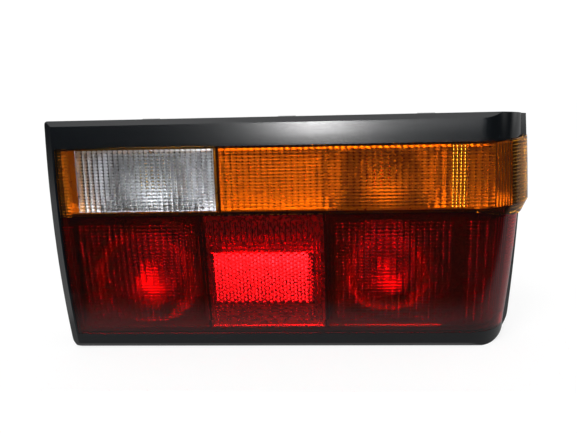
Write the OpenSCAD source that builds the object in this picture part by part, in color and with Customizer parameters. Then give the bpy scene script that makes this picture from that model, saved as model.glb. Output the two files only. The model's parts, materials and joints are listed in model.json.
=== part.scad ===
// Rear combination lamp of an older saloon, right-hand side: amber, clear and red lens in a black bezel.
// Frame: X to the right, Z up, the lens looks towards -Y. The origin is the centre of the four
// mounting studs, on the rear face of the housing.

/* [Overall] */
// Overall width across the bezel
body_w = 390; // [375:1:410]
// Overall height of the bezel
body_h = 201; // [194:1:212]
// Rear face of the housing to the foremost line of the lens
body_d = 58; // [55:1:66]
// Radius of the upright curve of the front
face_r = 500; // [420:10:800]
// Height of the foremost line of the front above the middle
crown_z = 30; // [15:1:40]

/* [Wrapped corner] */
// Outer radius of the upright corner where the lens turns to the side
corner_r = 36; // [32:1:40]
// How far behind the foremost line the lens ends at the side
wrap_d = 28; // [24:1:30]
// Width of the bezel rim outside the upper lens
rim_w = 7; // [5:0.5:9]
// How far the red side lies inside the amber side
side_step = 6; // [4:0.5:8]
// Height of the side step on the bezel rim
step_z = 17.4; // [12:0.2:19]
// Height of the slanted edge above the side step
step_slant = 9.5; // [6:0.5:12]
// How far the upper rim leans in towards the top
upper_lean = 4; // [2:0.5:6]
// How far the lower rim leans in towards the bottom
lower_lean = 4.6; // [2:0.2:6]

/* [Bezel] */
// Wall thickness of the bezel
bezel_t = 2.4; // [1.8:0.1:3]
// Width and depth of the slanted outer edge along the top and bottom
bevel = 4; // [3:0.5:5]
// Width of the slanted outer edge on the left
left_bevel_w = 6.2; // [4:0.2:7]
// Bezel width left of the lens, slanted edge included
left_band = 7.8; // [7.4:0.1:10]
// Bezel height above the lens, slanted edge included
top_band = 21.7; // [18:0.1:24]
// Bezel height below the lens, slanted edge included
bottom_band = 14.5; // [12:0.1:18]
// Thickness of the lip that turns in beside the lens
lip_t = 1.6; // [1.2:0.1:2]
// Depth of that lip
lip_d = 7; // [4:0.5:9]
// Length of each snap tab inside the bezel
tab_l = 14; // [8:1:20]
// Depth of the bezel behind the face, on the front
bezel_d = 11; // [9.5:0.5:14]
// Fall of the bezel's top wall towards the back, in mm for each 10 mm
top_fall = 2; // [1.6:0.1:2.4]
// Distance from the bezel's back edge at the wrapped side to the rear face
rim_back_y = 8; // [7:0.5:8.5]

/* [Lens] */
// Wall thickness of the lens
lens_t = 2.6; // [2:0.1:3.2]
// Height of the joint between the upper and the red lens
split_z = 22.2; // [20:0.2:25]
// Depth of the lens skirt behind the face
skirt_d = 9.5; // [8:0.5:12]
// Width of the clear window
clear_w = 112; // [100:1:116]
// Distance from the top of the lens opening down to the clear window
clear_drop = 1.9; // [1.5:0.1:3]
// Amber margin left of the clear window
clear_margin = 16.8; // [14:0.2:20]
// Distance from the lens joint up to the clear window
clear_sill = 4.3; // [3:0.1:5]
// Corner radius of the clear window
clear_r = 4; // [2:0.5:6]
// Gap between the bezel and the lens, and between lens parts
lens_gap = 0.3; // [0.2:0.05:0.5]

/* [Lens optics] */
// Pitch of the upright flutes in the amber and red lens
flute_p = 4.9; // [4:0.1:6]
// Pitch of the upright flutes in the clear window
clear_flute_p = 4.2; // [3.6:0.1:5]
// Height of a flute
flute_h = 0.6; // [0.3:0.05:0.8]
// Ridge that frames the optics: width
ridge_w = 3; // [2:0.2:4]
// Ridge that frames the optics: height on the inside
ridge_h = 2.2; // [1:0.2:3]

/* [Reflex reflector] */
// Width of the reflex reflector
reflex_w = 85; // [75:1:90]
// Height of the reflex reflector
reflex_h = 47; // [40:0.5:50]
// Distance from the lens joint down to the reflex reflector
reflex_drop = 32; // [28:0.5:36]
// Distance from the left edge of the bezel to the reflex reflector
reflex_x = 129.4; // [122:0.2:134]
// Distance between neighbouring points of the prism pattern
prism_e = 2; // [1.8:0.1:2.6]

/* [Housing] */
// Thickness of the rear plate
plate_t = 3; // [2.4:0.1:4]
// Thickness of the wall that carries the lens
wall_t = 2.6; // [2:0.1:3]
// Thickness of the walls between the chambers
rib_t = 2; // [1.6:0.1:2.6]
// Distance of the chamber walls behind the face of the lens
rib_d = 8; // [7.5:0.1:10]
// Width of the red chamber on the left
fog_w = 111.5; // [106:0.5:116]
// Width of the unlit chamber behind the reflex reflector
mid_w = 98; // [94:0.5:100]
// Thickness of the flange that carries the bezel
flange_t = 2; // [1.6:0.1:2.6]
// Distance from the bezel edge to the edge of the rear plate
plate_inset = 9; // [8.5:0.5:10]
// Distance from the bezel edge to the stud centres, sideways
stud_inset_x = 36; // [36:0.5:38]
// Distance from the bezel edge to the stud centres, upright
stud_inset_z = 34.5; // [33:0.5:38]
// Radius of the stud bosses
boss_r = 7; // [6.5:0.25:8]
// Depth of the stud bosses inside the housing
boss_d = 12; // [10:0.5:14]

/* [Studs and gasket] */
// Radius of the mounting studs
stud_r = 3; // [2.5:0.5:3]
// Radius of the serrated neck that holds a stud in its boss
stud_neck_r = 3.5; // [3.3:0.1:4.2]
// Length of the studs behind the housing
stud_l = 28; // [20:1:40]
// Radius of the stud head in its boss
stud_head_r = 5; // [4.5:0.25:5.5]
// Thickness of the stud head
stud_head_t = 3; // [2:0.5:4]
// Width of the foam gasket against the car body
gasket_w = 8; // [6:0.5:8]
// Thickness of the foam gasket
gasket_t = 5; // [4:0.5:8]
// Distance from the bezel edge to the gasket
gasket_inset = 10.5; // [10:0.25:11]

/* [Seals] */
// Thickness of the lens seal
seal_t = 1.5; // [1:0.1:2]
// Thickness of the bulb carrier's foam seal
carrier_seal_t = 3; // [2:0.25:4]
// Width of the bulb carrier's foam seal
carrier_seal_w = 4; // [3:0.25:5]

/* [Reflector trays] */
// Wall thickness of the metallised trays
tray_t = 1.4; // [1:0.1:1.8]
// Gap between a tray and the housing walls
tray_gap = 0.3; // [0.2:0.05:0.5]
// Distance from the foremost line to the tray floor
tray_d = 22; // [20:0.5:24]
// How far the tray floor falls back at the wrapped side
tray_fall = 12; // [8:0.5:16]
// Radius of the round bowl in the stop and tail chamber
round_bowl_r = 41.5; // [36:0.5:44]
// Radius of the wide bowls, cut off by their chambers
wide_bowl_r = 48; // [44:0.5:50]
// Radius of the bulb opening at the bottom of a bowl
neck_r = 15; // [14:0.25:16]
// Depth of a bowl behind the tray floor
bowl_d = 28; // [24:0.5:30]

/* [Bulbs] */
// Distance from the left edge of the bezel to the reversing bulb
reversing_x = 81; // [78:0.5:84]
// Place of the indicator bulb across its chamber, as a share of the width
indicator_share = 0.544; // [0.5:0.002:0.56]
// Height of the two upper bulbs above the middle of their chambers
upper_bulb_rise = 1.2; // [0:0.1:2]
// Distance from the left edge of the bezel to the fog bulb
fog_x = 73; // [70:0.5:76]
// Place of the stop and tail bulb across its chamber, as a share of the width
tail_share = 0.338; // [0.32:0.002:0.36]
// Height of the two lower bulbs above the middle of their chambers
lower_bulb_rise = 2.6; // [1:0.1:4]
// Radius of a bulb's brass cap
cap_r = 7.5; // [7:0.1:8]
// Length of a bulb's brass cap
cap_l = 18; // [16:0.5:20]
// Radius of a bulb's glass
glass_r = 13; // [11:0.25:13.5]
// Length of a bulb's glass in front of the cap
glass_l = 31; // [29:0.5:33]

/* [Bulb carrier] */
// Thickness of the carrier plate
carrier_t = 2.5; // [2:0.1:3]
// Distance from the outermost bulbs to the carrier's edge
carrier_margin = 26; // [24:0.5:27]
// Corner radius of the carrier
carrier_r = 8; // [6:0.5:12]
// Gap between the carrier and its collar
carrier_gap = 0.4; // [0.3:0.05:0.6]
// Wall thickness of the collar on the housing
collar_t = 2.2; // [1.8:0.1:2.6]
// Distance from the gasket down to the carrier, for the collar and its hooks
collar_room = 5.3; // [4.8:0.1:6]
// Wall thickness of a bulb socket
socket_t = 2.4; // [2:0.1:3]
// Length of a bulb socket in front of the plate
socket_l = 13; // [11:0.5:14]
// Width of a snap hook on the collar
hook_w = 12; // [10:0.5:16]
// How far a snap hook reaches over the carrier
hook_reach = 1.5; // [1.2:0.1:1.8]

/* [Contacts and connector] */
// Thickness of the brass strips
strip_t = 0.8; // [0.6:0.1:1]
// Width of the brass strips
strip_w = 4; // [3:0.25:5]
// Distance between neighbouring terminals
pin_p = 7; // [6.8:0.1:8]
// Width of a terminal blade
blade_w = 6.3; // [4.8:0.1:6.3]
// Length of a terminal blade behind the strip
blade_l = 14; // [10:0.5:16]
// Distance from the left edge of the bezel to the middle of the connector
connector_x = 175; // [170:0.5:180]
// Distance of the connector below the lens joint
connector_z = 11.2; // [10:0.2:13]
// Depth of the connector shroud
shroud_d = 22; // [18:0.5:26]
// Inner height of the connector shroud
shroud_h = 12; // [11:0.5:13]
// Wall thickness of the connector shroud
shroud_t = 2; // [1.6:0.1:2.4]

/* [Breathers] */
// Distance from the left edge of the bezel to the left breather
vent_left_x = 95; // [80:1:120]
// Distance from the left edge of the bezel to the right breather
vent_right_x = 255; // [230:1:290]
// Distance from the bottom edge of the bezel to the breathers
vent_z = 28; // [26:0.5:31]
// Outer radius of a breather pipe
vent_r = 4; // [3.5:0.25:5]

/* [Hidden] */
$fn = 96;
sweep_fn = 240;
sweep_a = 18;
far_d = 75;
far = 60;
fit = 0.05;

// Overall limits and the two side faces
hw = body_w / 2;
hh = body_h / 2;
axis_y = face_r - body_d;
upper_side = hw - rim_w;
lower_side = upper_side - side_step;

// Lens outline inside the bezel opening
open_left = left_band - hw;
open_top = hh - top_band;
open_bottom = bottom_band - hh;
edge_in = 1;
drop_x = lower_side - 32;
lens_back = wrap_d - lens_gap;
seal_back = lens_back + seal_t;

// Clear window and reflex reflector, measured from the left edge and the lens joint
clear_x0 = open_left + clear_margin;
clear_x1 = clear_x0 + clear_w;
clear_z0 = split_z + clear_sill;
clear_z1 = open_top - clear_drop;
reflex_x0 = reflex_x - hw;
reflex_x1 = reflex_x0 + reflex_w;
reflex_z1 = split_z - reflex_drop;
reflex_z0 = reflex_z1 - reflex_h;

// Chambers of the housing
in_left = open_left + lens_gap + wall_t;
in_top = open_top - lens_gap - wall_t;
in_bottom = open_bottom + lens_gap + wall_t;
in_right_up = upper_side - edge_in - wall_t;
in_right_low = lower_side - edge_in - wall_t;
div_x = clear_x1 + 1;
fog_x1 = in_left + fog_w;
mid_x1 = fog_x1 + rib_t + mid_w;

// Bulbs: x and z
upper_z = (split_z + open_top) / 2 + upper_bulb_rise;
lower_z = (split_z + open_bottom) / 2 + lower_bulb_rise;
ind_left = div_x + rib_t;
tail_left = mid_x1 + rib_t;
p_rev = [reversing_x - hw, upper_z];
p_ind = [ind_left + indicator_share * (in_right_up - ind_left), upper_z];
p_fog = [fog_x - hw, lower_z];
p_tail = [tail_left + tail_share * (in_right_low - tail_left), lower_z];
bulbs = [p_rev, p_ind, p_fog, p_tail];

// Carrier stack behind the rear plate
col_x0 = min([for (b = bulbs) b[0]]) - carrier_margin;
col_x1 = max([for (b = bulbs) b[0]]) + carrier_margin;
col_z0 = lower_z - carrier_margin;
col_z1 = hh - gasket_inset - gasket_w - collar_room;
skirt_y = carrier_seal_t;
carrier_y = skirt_y + 2.5;
strip_y = carrier_y + carrier_t;
hook_y = strip_y + 0.15;
hook_t = 1.8;
hook_xs = [col_x0 + 38, col_x1 - 38];
cap_y = strip_y - 0.05;
pin_x0 = connector_x - hw - 2.5 * pin_p;
pin_z = split_z - connector_z;
pin_mid = connector_x - hw;
shroud_w = 5 * pin_p + strip_w + 7;
strip_gap = 0.15;
latch_w = 8;
latch_d = 5;
latch_h = 1.5;

// Bulb caps, their pins and contacts, and the sockets they turn into
cap_end = cap_y - 1.45;
cap_wall = 0.6;
cap_base = 3;
nub_r = 2;
contact_z = 3.4;
bulb_pin_y = -1;
bulb_pin_r = 1;
bulb_pin_l = 1.5;
pin_offset = 3;
pin_back = 9;
slot_w = 2.4;
slot_turn = 32;
socket_gap = 0.2;
socket_or = cap_r + socket_gap + socket_t;
glass_t = 0.8;
neck_out = cap_r - cap_wall - fit;
neck_end = cap_end - cap_l + 6;
leg_y = -3;

// Studs, hooks and breathers
stud_x = hw - stud_inset_x;
stud_z = hh - stud_inset_z;
head_y = boss_d - 2;
hook_slit = 1;
hook_root = 1;
vent_xs = [vent_left_x - hw, vent_right_x - hw];
vent_pos_z = vent_z - hh;
vent_l = 7;
vent_t = 2;
vent_cap_l = 5;
vent_cap_t = 1.5;
vent_slot_l = 2;

// Optics: left margin strip, end of the flutes, ribbed strip above the reflector, prism field
margin_w = 10.3;
flute_x1 = upper_side - 58;
reflex_flute_p = 4.4;
flute_root = 0.15;
prism_edge = 1.5;
prism_root = 0.5;

// Offset a closed outline inwards by d (outwards where d is negative)
function unit(v) = v / norm(v);
function inward(a, b) = let (u = unit(b - a)) [-u[1], u[0]];
function inset(p, d) = [for (i = [0:len(p) - 1])
    let (a = p[(i + len(p) - 1) % len(p)], b = p[i], c = p[(i + 1) % len(p)],
        m = inward(a, b), n = inward(b, c))
    b + d * (m + n) / (1 + m * n)];
function shrink(r, d) = [for (v = r) v > 0 ? max(v - d, 1) : 0];

// Closed outline with its convex corners rounded by true arcs
module rounded(p, r) {
    n = len(p);
    u = [for (i = [0:n - 1]) unit(p[(i + n - 1) % n] - p[i])];
    v = [for (i = [0:n - 1]) unit(p[(i + 1) % n] - p[i])];
    half = [for (i = [0:n - 1]) acos(u[i] * v[i]) / 2];
    polygon([for (i = [0:n - 1]) for (k = [0, 1])
        if (r[i] > 0 || k == 0)
            r[i] > 0 ? p[i] + (k == 0 ? u[i] : v[i]) * r[i] / tan(half[i]) : p[i]]);
    for (i = [0:n - 1]) {
        if (r[i] > 0)
            translate(p[i] + unit(u[i] + v[i]) * r[i] / sin(half[i])) circle(r[i]);
    }
}

// Outline drawn in X and Z, made solid from y0 to y1
module upright(y0, y1) {
    translate([0, y1, 0]) rotate([90, 0, 0]) linear_extrude(y1 - y0) children();
}

// Section drawn in X and depth behind the foremost line, swept along the upright curve
module swept() {
    translate([0, axis_y, crown_z]) rotate([-90, 0, 0]) rotate([0, 90, 0])
        rotate([0, 0, -sweep_a]) rotate_extrude(angle = 2 * sweep_a, $fn = sweep_fn)
            translate([face_r, 0]) rotate(90) children();
}

// Section of a body whose face lies d behind the lens face, with its side at x = side
module plan(d, side) {
    r = corner_r - d;
    xc = side - corner_r;
    difference() {
        translate([-hw - 20, d]) square([hw + 20 + side - d, far_d - d]);
        difference() {
            translate([xc, d - 1]) square([r + 1, r + 1]);
            translate([xc, corner_r]) circle(r);
        }
    }
}

// Section of everything behind the lens edge: front_gap behind the face, side_gap at the side
module behind(front_gap, side_gap, side) {
    plan(front_gap, side);
    translate([-hw - 20, side_gap]) square([2 * hw + 40, far_d - side_gap]);
}

// Sweep one section above the side step and one below it
module zoned() {
    intersection() {
        swept() children(0);
        translate([-hw - far, -body_d - far, step_z]) cube([body_w + 2 * far, body_d + 2 * far, body_h]);
    }
    intersection() {
        swept() children(1);
        translate([-hw - far, -body_d - far, step_z - body_h])
            cube([body_w + 2 * far, body_d + 2 * far, body_h]);
    }
}

// Outlines in X and Z, listed anticlockwise, with their corner radii
bezel_pts = [[-hw, -hh], [hw - side_step - lower_lean, -hh], [hw - side_step, step_z],
    [hw, step_z + step_slant], [hw - upper_lean, hh], [-hw, hh]];
bezel_r = [8, 22, 0, 3, 6, 3];
open_pts = [[open_left, open_bottom], [hw + far, open_bottom], [hw + far, open_top], [open_left, open_top]];
ring_pts = [[open_left + lens_gap, open_bottom + lens_gap], [lower_side - edge_in, open_bottom + lens_gap],
    [lower_side - edge_in, step_z], [upper_side - edge_in, step_z],
    [upper_side - edge_in, open_top - lens_gap], [open_left + lens_gap, open_top - lens_gap]];
upper_pts = [[open_left + lens_gap, split_z], [drop_x, split_z], [lower_side, step_z], [hw + far, step_z],
    [hw + far, open_top - lens_gap], [open_left + lens_gap, open_top - lens_gap]];
lower_pts = [[open_left + lens_gap, open_bottom + lens_gap], [hw + far, open_bottom + lens_gap],
    [hw + far, step_z], [lower_side, step_z], [drop_x, split_z], [open_left + lens_gap, split_z]];
carrier_pts = [[col_x0, col_z0], [col_x1, col_z0], [col_x1, col_z1], [col_x0, col_z1]];
carrier_rs = [carrier_r, carrier_r, carrier_r, carrier_r];

function box_pts(x0, x1, z0, z1) = [[x0, z0], [x1, z0], [x1, z1], [x0, z1]];
clear_pts = box_pts(clear_x0, clear_x1, clear_z0, clear_z1);
reflex_pts = box_pts(reflex_x0, reflex_x1, reflex_z0, reflex_z1);

module outline_band(p, r, d0, d1) {
    difference() {
        rounded(inset(p, d0), shrink(r, d0));
        rounded(inset(p, d1), shrink(r, d1));
    }
}
ring_r = [2, 10, 0, 0, 3, 2];
rim_gap = edge_in - lens_gap;
rim_step = 0.6;
flange_in = 1;
tab_nose = 1.4;
tab_nose_t = 1.6;
tab_root = 4;
tabs = [[0, -110, hh], [0, 0, hh], [0, 110, hh], [180, -110, hh], [180, 0, hh], [180, 110, hh],
    [90, -55, hw], [90, 55, hw]];
flange_d = bezel_d + fit;
hook_d = flange_d + flange_t + fit;
floor_y = tray_d - body_d;
bowl_y = floor_y + bowl_d;

module along_y(x, z, y0, y1, r) {
    translate([x, y0, z]) rotate([-90, 0, 0]) cylinder(h = y1 - y0, r = r);
}

// Black bezel
module bezel_plan(d, side) {
    rim_y = wrap_d - rim_step;
    rim_x = side - corner_r + sqrt(pow(corner_r, 2) - pow(corner_r - rim_y, 2));
    rim_line = rim_y + d * sqrt(2) - rim_x;
    bevel_d = bevel + d * norm([bevel, left_bevel_w]) / left_bevel_w;
    difference() {
        union() {
            plan(d, side);
            polygon([[side - 10, rim_line + side - 10], [side + 20, rim_line + side + 20],
                [side + 20, far_d], [side - 10, far_d]]);
        }
        polygon([[-hw - left_bevel_w, bevel_d + bevel], [-hw + 2 * left_bevel_w, bevel_d - 2 * bevel],
            [-hw - far, bevel_d - 2 * bevel], [-hw - far, bevel_d + bevel]]);
    }
}

module opening_plan(side) {
    translate([-hw - far, -1]) square([2 * hw + 2 * far, wrap_d + 1]);
    translate([-hw - far, -1]) square([hw + far + side - rim_gap, far_d + 1]);
}

// Wedges that slant the top and bottom edges of the front
module edge_wedge(z, s) {
    face_y = axis_y - sqrt(pow(face_r, 2) - pow(z - s * bevel - crown_z, 2));
    translate([-hw - 5, 0, 0]) rotate([90, 0, 90]) linear_extrude(body_w + 10)
        polygon([[face_y - 2, z - s * (bevel + 2)], [face_y + bevel + 2, z + 2 * s], [face_y - 2, z + 2 * s]]);
}

// Outlines of the snap tabs: reach lengthens them inwards, grow widens them all round
module tab_outlines(reach, grow, out) {
    for (t = tabs) rotate(t[0])
        translate([t[1] - tab_l / 2 - grow, t[2] - bezel_t - lip_t - reach - grow])
            square([tab_l + 2 * grow, lip_t + reach + grow + out]);
}

module snap_tabs() {
    intersection() {
        swept() translate([-hw, tab_root]) square([body_w, hook_d + tab_nose_t - tab_root]);
        upright(-body_d - 5, 0) tab_outlines(0, 0, bezel_t / 2);
    }
    intersection() {
        swept() translate([-hw, hook_d]) square([body_w, tab_nose_t]);
        upright(-body_d - 5, 0) tab_outlines(tab_nose, 0, 0);
    }
}

module bezel() {
    color([0.07, 0.08, 0.09]) {
        difference() {
            union() {
                difference() {
                    bezel_body();
                    intersection() {
                        zoned() { bezel_plan(bezel_t, upper_side); bezel_plan(bezel_t, lower_side); }
                        difference() {
                            upright(-body_d - 5, 5)
                                rounded(inset(bezel_pts, bezel_t), shrink(bezel_r, bezel_t));
                            top_wedge(bezel_t);
                        }
                    }
                }
                intersection() {
                    zoned() { bezel_lip(upper_side); bezel_lip(lower_side); }
                    upright(-body_d - 5, -rim_back_y) polygon(inset(open_pts, -lip_t));
                }
            }
            intersection() {
                zoned() { opening_plan(upper_side); opening_plan(lower_side); }
                upright(-body_d - 5, 5) polygon(open_pts);
            }
        }
        snap_tabs();
    }
}

module bezel_lip(side) {
    intersection() {
        difference() {
            bezel_plan(bezel_t / 2, side);
            bezel_plan(lip_d, side);
        }
        translate([-hw - far, -1]) square([hw + far + side - rim_gap + lip_t, far_d + 1]);
    }
}

module bezel_body() {
    difference() {
        intersection() {
            zoned() { bezel_section(upper_side); bezel_section(lower_side); }
            upright(-body_d - 5, -rim_back_y) rounded(bezel_pts, bezel_r);
        }
        edge_wedge(hh, 1);
        edge_wedge(-hh, -1);
        top_wedge(0);
    }
}

// Wedge above the falling top wall, d below its outside
module top_wedge(d) {
    y0 = bevel + 2 - body_d;
    translate([-hw - 5, 0, 0]) rotate([90, 0, 90]) linear_extrude(body_w + 10)
        polygon([[y0, hh + 0.5 - d], [10, hh + 0.5 - d - (10 - y0) * top_fall / 10],
            [10, hh + 5], [y0, hh + 5]]);
}

module bezel_section(side) {
    difference() {
        bezel_plan(0, side);
        plan(bezel_d, side);
    }
}

// Lens: shell with the optics on its inside
module lens_plan(side, d0) {
    intersection() {
        difference() {
            plan(d0, side);
            plan(lens_t, side);
        }
        translate([-hw - far, -1]) square([2 * hw + 2 * far, lens_back + 1]);
    }
}

// Upright flutes on the inside of the lens, between x0 and x1
module flutes(x0, x1, pitch) {
    n = floor((x1 - x0) / pitch);
    p = (x1 - x0) / n;
    r = p * p / (8 * flute_h) + flute_h / 2;
    intersection() {
        translate([x0, lens_t / 2]) square([x1 - x0, lens_t / 2 + flute_h + 1]);
        for (i = [0:n - 1]) translate([x0 + (i + 0.5) * p, lens_t + flute_root + flute_h - r]) circle(r);
    }
}

module ridge(x) {
    translate([x, lens_t - 0.5]) square([ridge_w, ridge_h + 0.5]);
}

module skirt(pts, side) {
    intersection() {
        upright(-body_d - 5, 0) intersection() {
            ring_band();
            polygon(pts);
        }
        swept() skirt_plan(side);
    }
}

module skirt_plan(side) {
    intersection() {
        difference() {
            plan(lens_t / 2, side);
            plan(skirt_d, side);
        }
        translate([-hw - far, -1]) square([2 * hw + 2 * far, lens_back + 1]);
    }
}

module ring_band() {
    difference() {
        rounded(ring_pts, ring_r);
        rounded(inset(ring_pts, wall_t), shrink(ring_r, wall_t));
    }
}

// Ledge that closes the amber lens under its prouder side
module ledge() {
    intersection() {
        swept() intersection() {
            difference() {
                plan(0, upper_side);
                plan(lens_t, lower_side);
            }
            translate([-hw, -1]) square([body_w + far, lens_back + 1]);
        }
        upright(-body_d - 5, 0) polygon([[drop_x, split_z], [lower_side, step_z], [hw + far, step_z],
            [hw + far, step_z + lens_t], [lower_side, step_z + lens_t], [drop_x, split_z + lens_t]]);
    }
}

module window_block(pts, r, d1) {
    intersection() {
        upright(-body_d - 5, 0) rounded(pts, [r, r, r, r]);
        swept() translate([-hw, -1]) square([body_w, d1 + 1]);
    }
}

module lens_amber() {
    color([0.92, 0.45, 0.05, 0.9]) difference() {
        union() {
            intersection() {
                swept() {
                    lens_plan(upper_side, 0);
                    flutes(div_x + 3, flute_x1, flute_p);
                    ridge(open_left + margin_w);
                    ridge(flute_x1 + 2);
                }
                upright(-body_d - 5, 0) polygon(upper_pts);
            }
            skirt(upper_pts, upper_side);
            ledge();
        }
        window_block(clear_pts, clear_r, lens_t + flute_h + 1);
    }
}

module lens_clear() {
    color([0.88, 0.9, 0.92, 0.6]) intersection() {
        swept() {
            lens_plan(upper_side, 0);
            flutes(clear_x0 + 1, clear_x1 - 1, clear_flute_p);
        }
        upright(-body_d - 5, 0)
            rounded(inset(clear_pts, fit), [clear_r, clear_r, clear_r, clear_r]);
    }
}

module lens_red() {
    color([0.7, 0.02, 0.03, 0.9]) difference() {
        union() {
            intersection() {
                swept() {
                    lens_plan(lower_side, 0);
                    flutes(open_left + margin_w + ridge_w, fog_x1 - 3, flute_p);
                    flutes(reflex_x0 + 1, reflex_x1 - 1, reflex_flute_p);
                    flutes(mid_x1 + rib_t + 3, flute_x1, flute_p);
                }
                upright(-body_d - 5, 0) polygon(lower_pts);
            }
            skirt(lower_pts, lower_side);
        }
        window_block(reflex_pts, 0, lens_t + flute_h + 1);
    }
}

// Back of the reflex reflector: cube corners on a triangular grid
module prisms() {
    rise = prism_e / sqrt(2);
    row = prism_e * sqrt(3) / 2;
    nx = floor((reflex_w - 2 * prism_edge) / prism_e) - 1;
    ny = floor((reflex_h - 2 * prism_edge) / row);
    sag = pow(reflex_h / 2, 2) / (2 * (face_r - lens_t)) + 0.1;
    function level(i, j) = sag + rise * (((i - floor(j / 2) - j) % 3 + 3) % 3);
    function spot(i, j, y) = [(i + (j % 2) / 2 - (nx + 0.5) / 2) * prism_e, y, (j - ny / 2) * row];
    function at(i, j) = j * (nx + 1) + i;
    rim = concat([for (i = [0:nx]) [i, 0]], [for (j = [1:ny]) [nx, j]],
        [for (i = [nx - 1:-1:0]) [i, ny]], [for (j = [ny - 1:-1:1]) [0, j]]);
    top_count = (nx + 1) * (ny + 1);
    points = concat([for (j = [0:ny]) for (i = [0:nx]) spot(i, j, level(i, j))],
        [for (b = rim) spot(b[0], b[1], -prism_root)]);
    cells = [for (j = [0:ny - 1]) for (i = [0:nx - 1]) for (k = [0, 1])
        let (a = at(i, j), b = at(i + 1, j), c = at(i, j + 1), d = at(i + 1, j + 1))
        j % 2 == 0 ? (k == 0 ? [a, b, c] : [b, d, c]) : (k == 0 ? [a, d, c] : [a, b, d])];
    walls = [for (k = [0:len(rim) - 1])
        let (n = (k + 1) % len(rim), a = at(rim[k][0], rim[k][1]), b = at(rim[n][0], rim[n][1]))
        [b, a, top_count + k, top_count + n]];
    polyhedron(points, concat(cells, walls, [[for (k = [len(rim) - 1:-1:0]) top_count + k]]));
}

module reflex_reflector() {
    mid_z = (reflex_z0 + reflex_z1) / 2;
    lean = asin((mid_z - crown_z) / (face_r - lens_t));
    color([0.9, 0.05, 0.05]) {
        intersection() {
            swept() lens_plan(lower_side, 0);
            upright(-body_d - 5, 0) polygon(inset(reflex_pts, fit));
        }
        translate([(reflex_x0 + reflex_x1) / 2, axis_y, crown_z]) rotate([-lean, 0, 0])
            translate([0, lens_t - face_r, 0]) prisms();
    }
}

module lens_seal() {
    color([0.15, 0.15, 0.16]) intersection() {
        upright(-body_d - 5, 0) ring_band();
        zoned() { seal_plan(upper_side); seal_plan(lower_side); }
    }
}

module seal_plan(side) {
    difference() {
        behind(skirt_d, lens_back, side);
        behind(skirt_d + seal_t, seal_back, side);
    }
}

// Housing with its chambers, stud bosses and the collar for the bulb carrier
module housing() {
    color([0.13, 0.13, 0.14]) difference() {
        union() {
            upright(-plate_t, 0) {
                rounded(inset(bezel_pts, plate_inset), shrink(bezel_r, plate_inset));
                rounded(ring_pts, ring_r);
            }
            flange();
            intersection() {
                upright(-body_d - 5, -plate_t / 2) ring_band();
                zoned() {
                    behind(skirt_d + seal_t, seal_back, upper_side);
                    behind(skirt_d + seal_t, seal_back, lower_side);
                }
            }
            intersection() {
                upright(-body_d - 5, -plate_t / 2) chamber_walls();
                zoned() { plan(rib_d, upper_side); plan(rib_d, lower_side); }
            }
            for (x = [-stud_x, stud_x]) {
                for (z = [-stud_z, stud_z]) along_y(x, z, -boss_d, -plate_t / 2, boss_r);
            }
            for (x = vent_xs) along_y(x, vent_pos_z, -plate_t / 2, vent_l, vent_r);
            collar();
        }
        for (x = [-stud_x, stud_x]) {
            for (z = [-stud_z, stud_z]) {
                along_y(x, z, -head_y - fit, stud_head_t - head_y + fit, stud_head_r + fit);
                along_y(x, z, -head_y, 1, stud_neck_r + fit);
            }
        }
        for (x = vent_xs) along_y(x, vent_pos_z, -plate_t - 1, vent_l + 1, vent_r - vent_t);
        for (b = bulbs) along_y(b[0], b[1], -plate_t - 1, 1, neck_r);
    }
}

// Flange behind the bezel, with notches for its snap tabs
module flange() {
    difference() {
        union() {
            intersection() {
                upright(-body_d - 5, 0) flange_outline();
                zoned() { flange_plan(upper_side); flange_plan(lower_side); }
            }
            upright(fit - rim_back_y, fit + flange_t - rim_back_y) intersection() {
                flange_outline();
                translate([lower_side - flange_d - flange_t, -hh]) square([far, body_h]);
            }
        }
        top_wedge(flange_in);
    }
}

module flange_outline() {
    difference() {
        rounded(inset(bezel_pts, flange_in), shrink(bezel_r, flange_in));
        rounded(inset(ring_pts, wall_t / 2), shrink(ring_r, wall_t / 2));
        tab_outlines(0, lens_gap, bezel_t + 1);
    }
}

module flange_plan(side) {
    difference() {
        plan(flange_d, side);
        plan(flange_d + flange_t, side);
    }
}

module chamber_walls() {
    translate([in_left, split_z - rib_t / 2]) square([in_right_low - in_left, rib_t]);
    translate([div_x, split_z]) square([rib_t, in_top - split_z]);
    translate([fog_x1, in_bottom]) square([rib_t, split_z - in_bottom]);
    translate([mid_x1, in_bottom]) square([rib_t, split_z - in_bottom]);
}

module collar() {
    top = col_z1 + carrier_gap;
    difference() {
        upright(-plate_t / 2, strip_y)
            outline_band(carrier_pts, carrier_rs, -carrier_gap - collar_t, -carrier_gap);
        for (m = [0, 1]) for (x = hook_xs) for (s = [-1, 1])
            hook_side(m) translate([x + s * (hook_w + hook_slit) / 2 - hook_slit / 2, hook_root, top - 1])
                cube([hook_slit, strip_y, collar_t + 2]);
    }
    for (m = [0, 1]) for (x = hook_xs) hook_side(m) {
        translate([x - hook_w / 2, strip_y - 1, top])
            cube([hook_w, hook_y + hook_t - strip_y + 1, collar_t]);
        translate([x - hook_w / 2, hook_y, top - hook_reach]) cube([hook_w, hook_t, hook_reach + 1]);
    }
}

// The top row of hooks, or its mirror image along the bottom edge of the carrier
module hook_side(m) {
    if (m == 0) children();
    else translate([0, 0, col_z0 + col_z1]) mirror([0, 0, 1]) children();
}

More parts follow.
